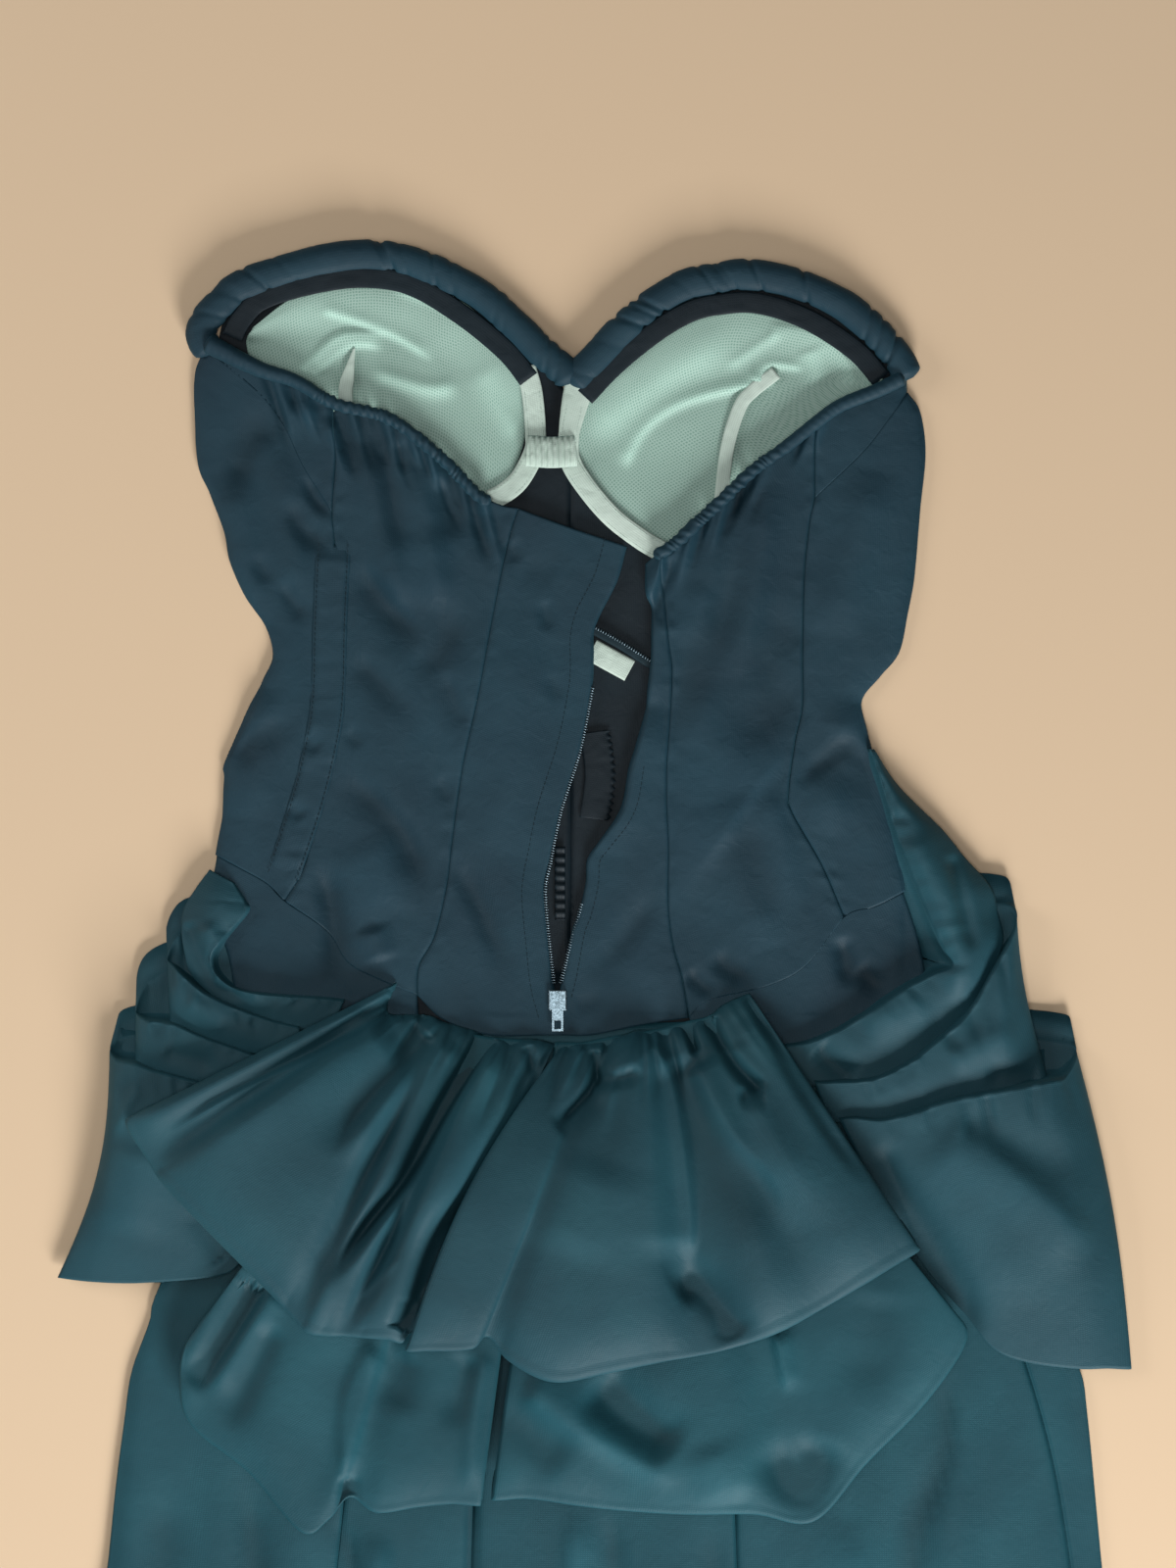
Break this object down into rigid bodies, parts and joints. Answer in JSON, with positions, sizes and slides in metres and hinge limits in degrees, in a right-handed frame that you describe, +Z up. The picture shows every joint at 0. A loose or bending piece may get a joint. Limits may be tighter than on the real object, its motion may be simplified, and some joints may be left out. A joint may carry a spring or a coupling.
{
  "type": "bustle dress",
  "caption": "Strapless bustle dress: boned bodice with net cups, gathered back tiers, pleated side drapes and a long skirt, laid flat with its back up and its zip open.",
  "frame": {"origin": "middle of the floor rectangle under the laid dress", "axes": "+Y from the hem towards the bust, +X towards the wearer's right, +Z up from the surface, out of the dress's back"},
  "size_m": [0.7239, 1.3002, 0.0472],
  "materials": {
    "taffeta": "dark teal taffeta with a soft sheen",
    "skirt_taffeta": "dark teal taffeta, greener in the light",
    "dark_tape": "matt woven tape",
    "stiff_net": "pale green stiff net in two layers",
    "cotton_tape": "off-white woven cotton tape",
    "zip_metal": "worn nickel plate"
  },
  "bodies": {
    "dress": {"back_centre_left": "taffeta", "back_centre_right": "taffeta", "back_middle_left": "taffeta", "back_middle_right": "taffeta", "back_side_left": "taffeta", "back_side_right": "taffeta", "back_underarm_left": "taffeta", "back_underarm_right": "taffeta", "boning_channel_left": "taffeta", "boning_tape_left": "cotton_tape", "boning_tape_right": "cotton_tape", "bustle_lower_left": "skirt_taffeta", "bustle_lower_right": "skirt_taffeta", "bustle_upper_left": "taffeta", "bustle_upper_right": "taffeta", "centre_bridge": "cotton_tape", "elastic_casing_left": "taffeta", "elastic_casing_right": "taffeta", "elastic_tab": "cotton_tape", "facing_left": "taffeta", "facing_right": "taffeta", "front_left": "taffeta", "front_right": "taffeta", "front_skirt": "taffeta", "inner_zip": "dark_tape", "net_cup_left": "stiff_net", "net_cup_right": "stiff_net", "ruched_strip": "dark_tape", "seam_flap": "dark_tape", "skirt_back_1": "skirt_taffeta", "skirt_back_2": "skirt_taffeta", "skirt_back_3": "skirt_taffeta", "skirt_back_4": "skirt_taffeta", "skirt_back_5": "skirt_taffeta", "swag_left_1": "taffeta", "swag_left_2": "taffeta", "swag_left_3": "taffeta", "swag_right_1": "taffeta", "swag_right_2": "taffeta", "top_roll_left": "taffeta", "top_roll_right": "taffeta", "wing_left": "taffeta", "wing_right": "taffeta", "wire_channel_left": "cotton_tape", "wire_channel_right": "cotton_tape", "yoke_left": "taffeta", "yoke_right": "taffeta", "zip_slider": "zip_metal", "zip_tape_left": "dark_tape", "zip_tape_right": "dark_tape", "zip_teeth_left": "zip_metal", "zip_teeth_right": "zip_metal"},
    "pull_tab": {"pull_tab": "zip_metal"}
  },
  "joints": [
    {"name": "pull_tab_hinge", "type": "hinge", "parent": "dress", "child": "pull_tab", "pos_m": [-0.0174, 0.2168, 0.0104], "axis": [-1, 0, 0], "range_deg": [0, 150]}
  ]
}
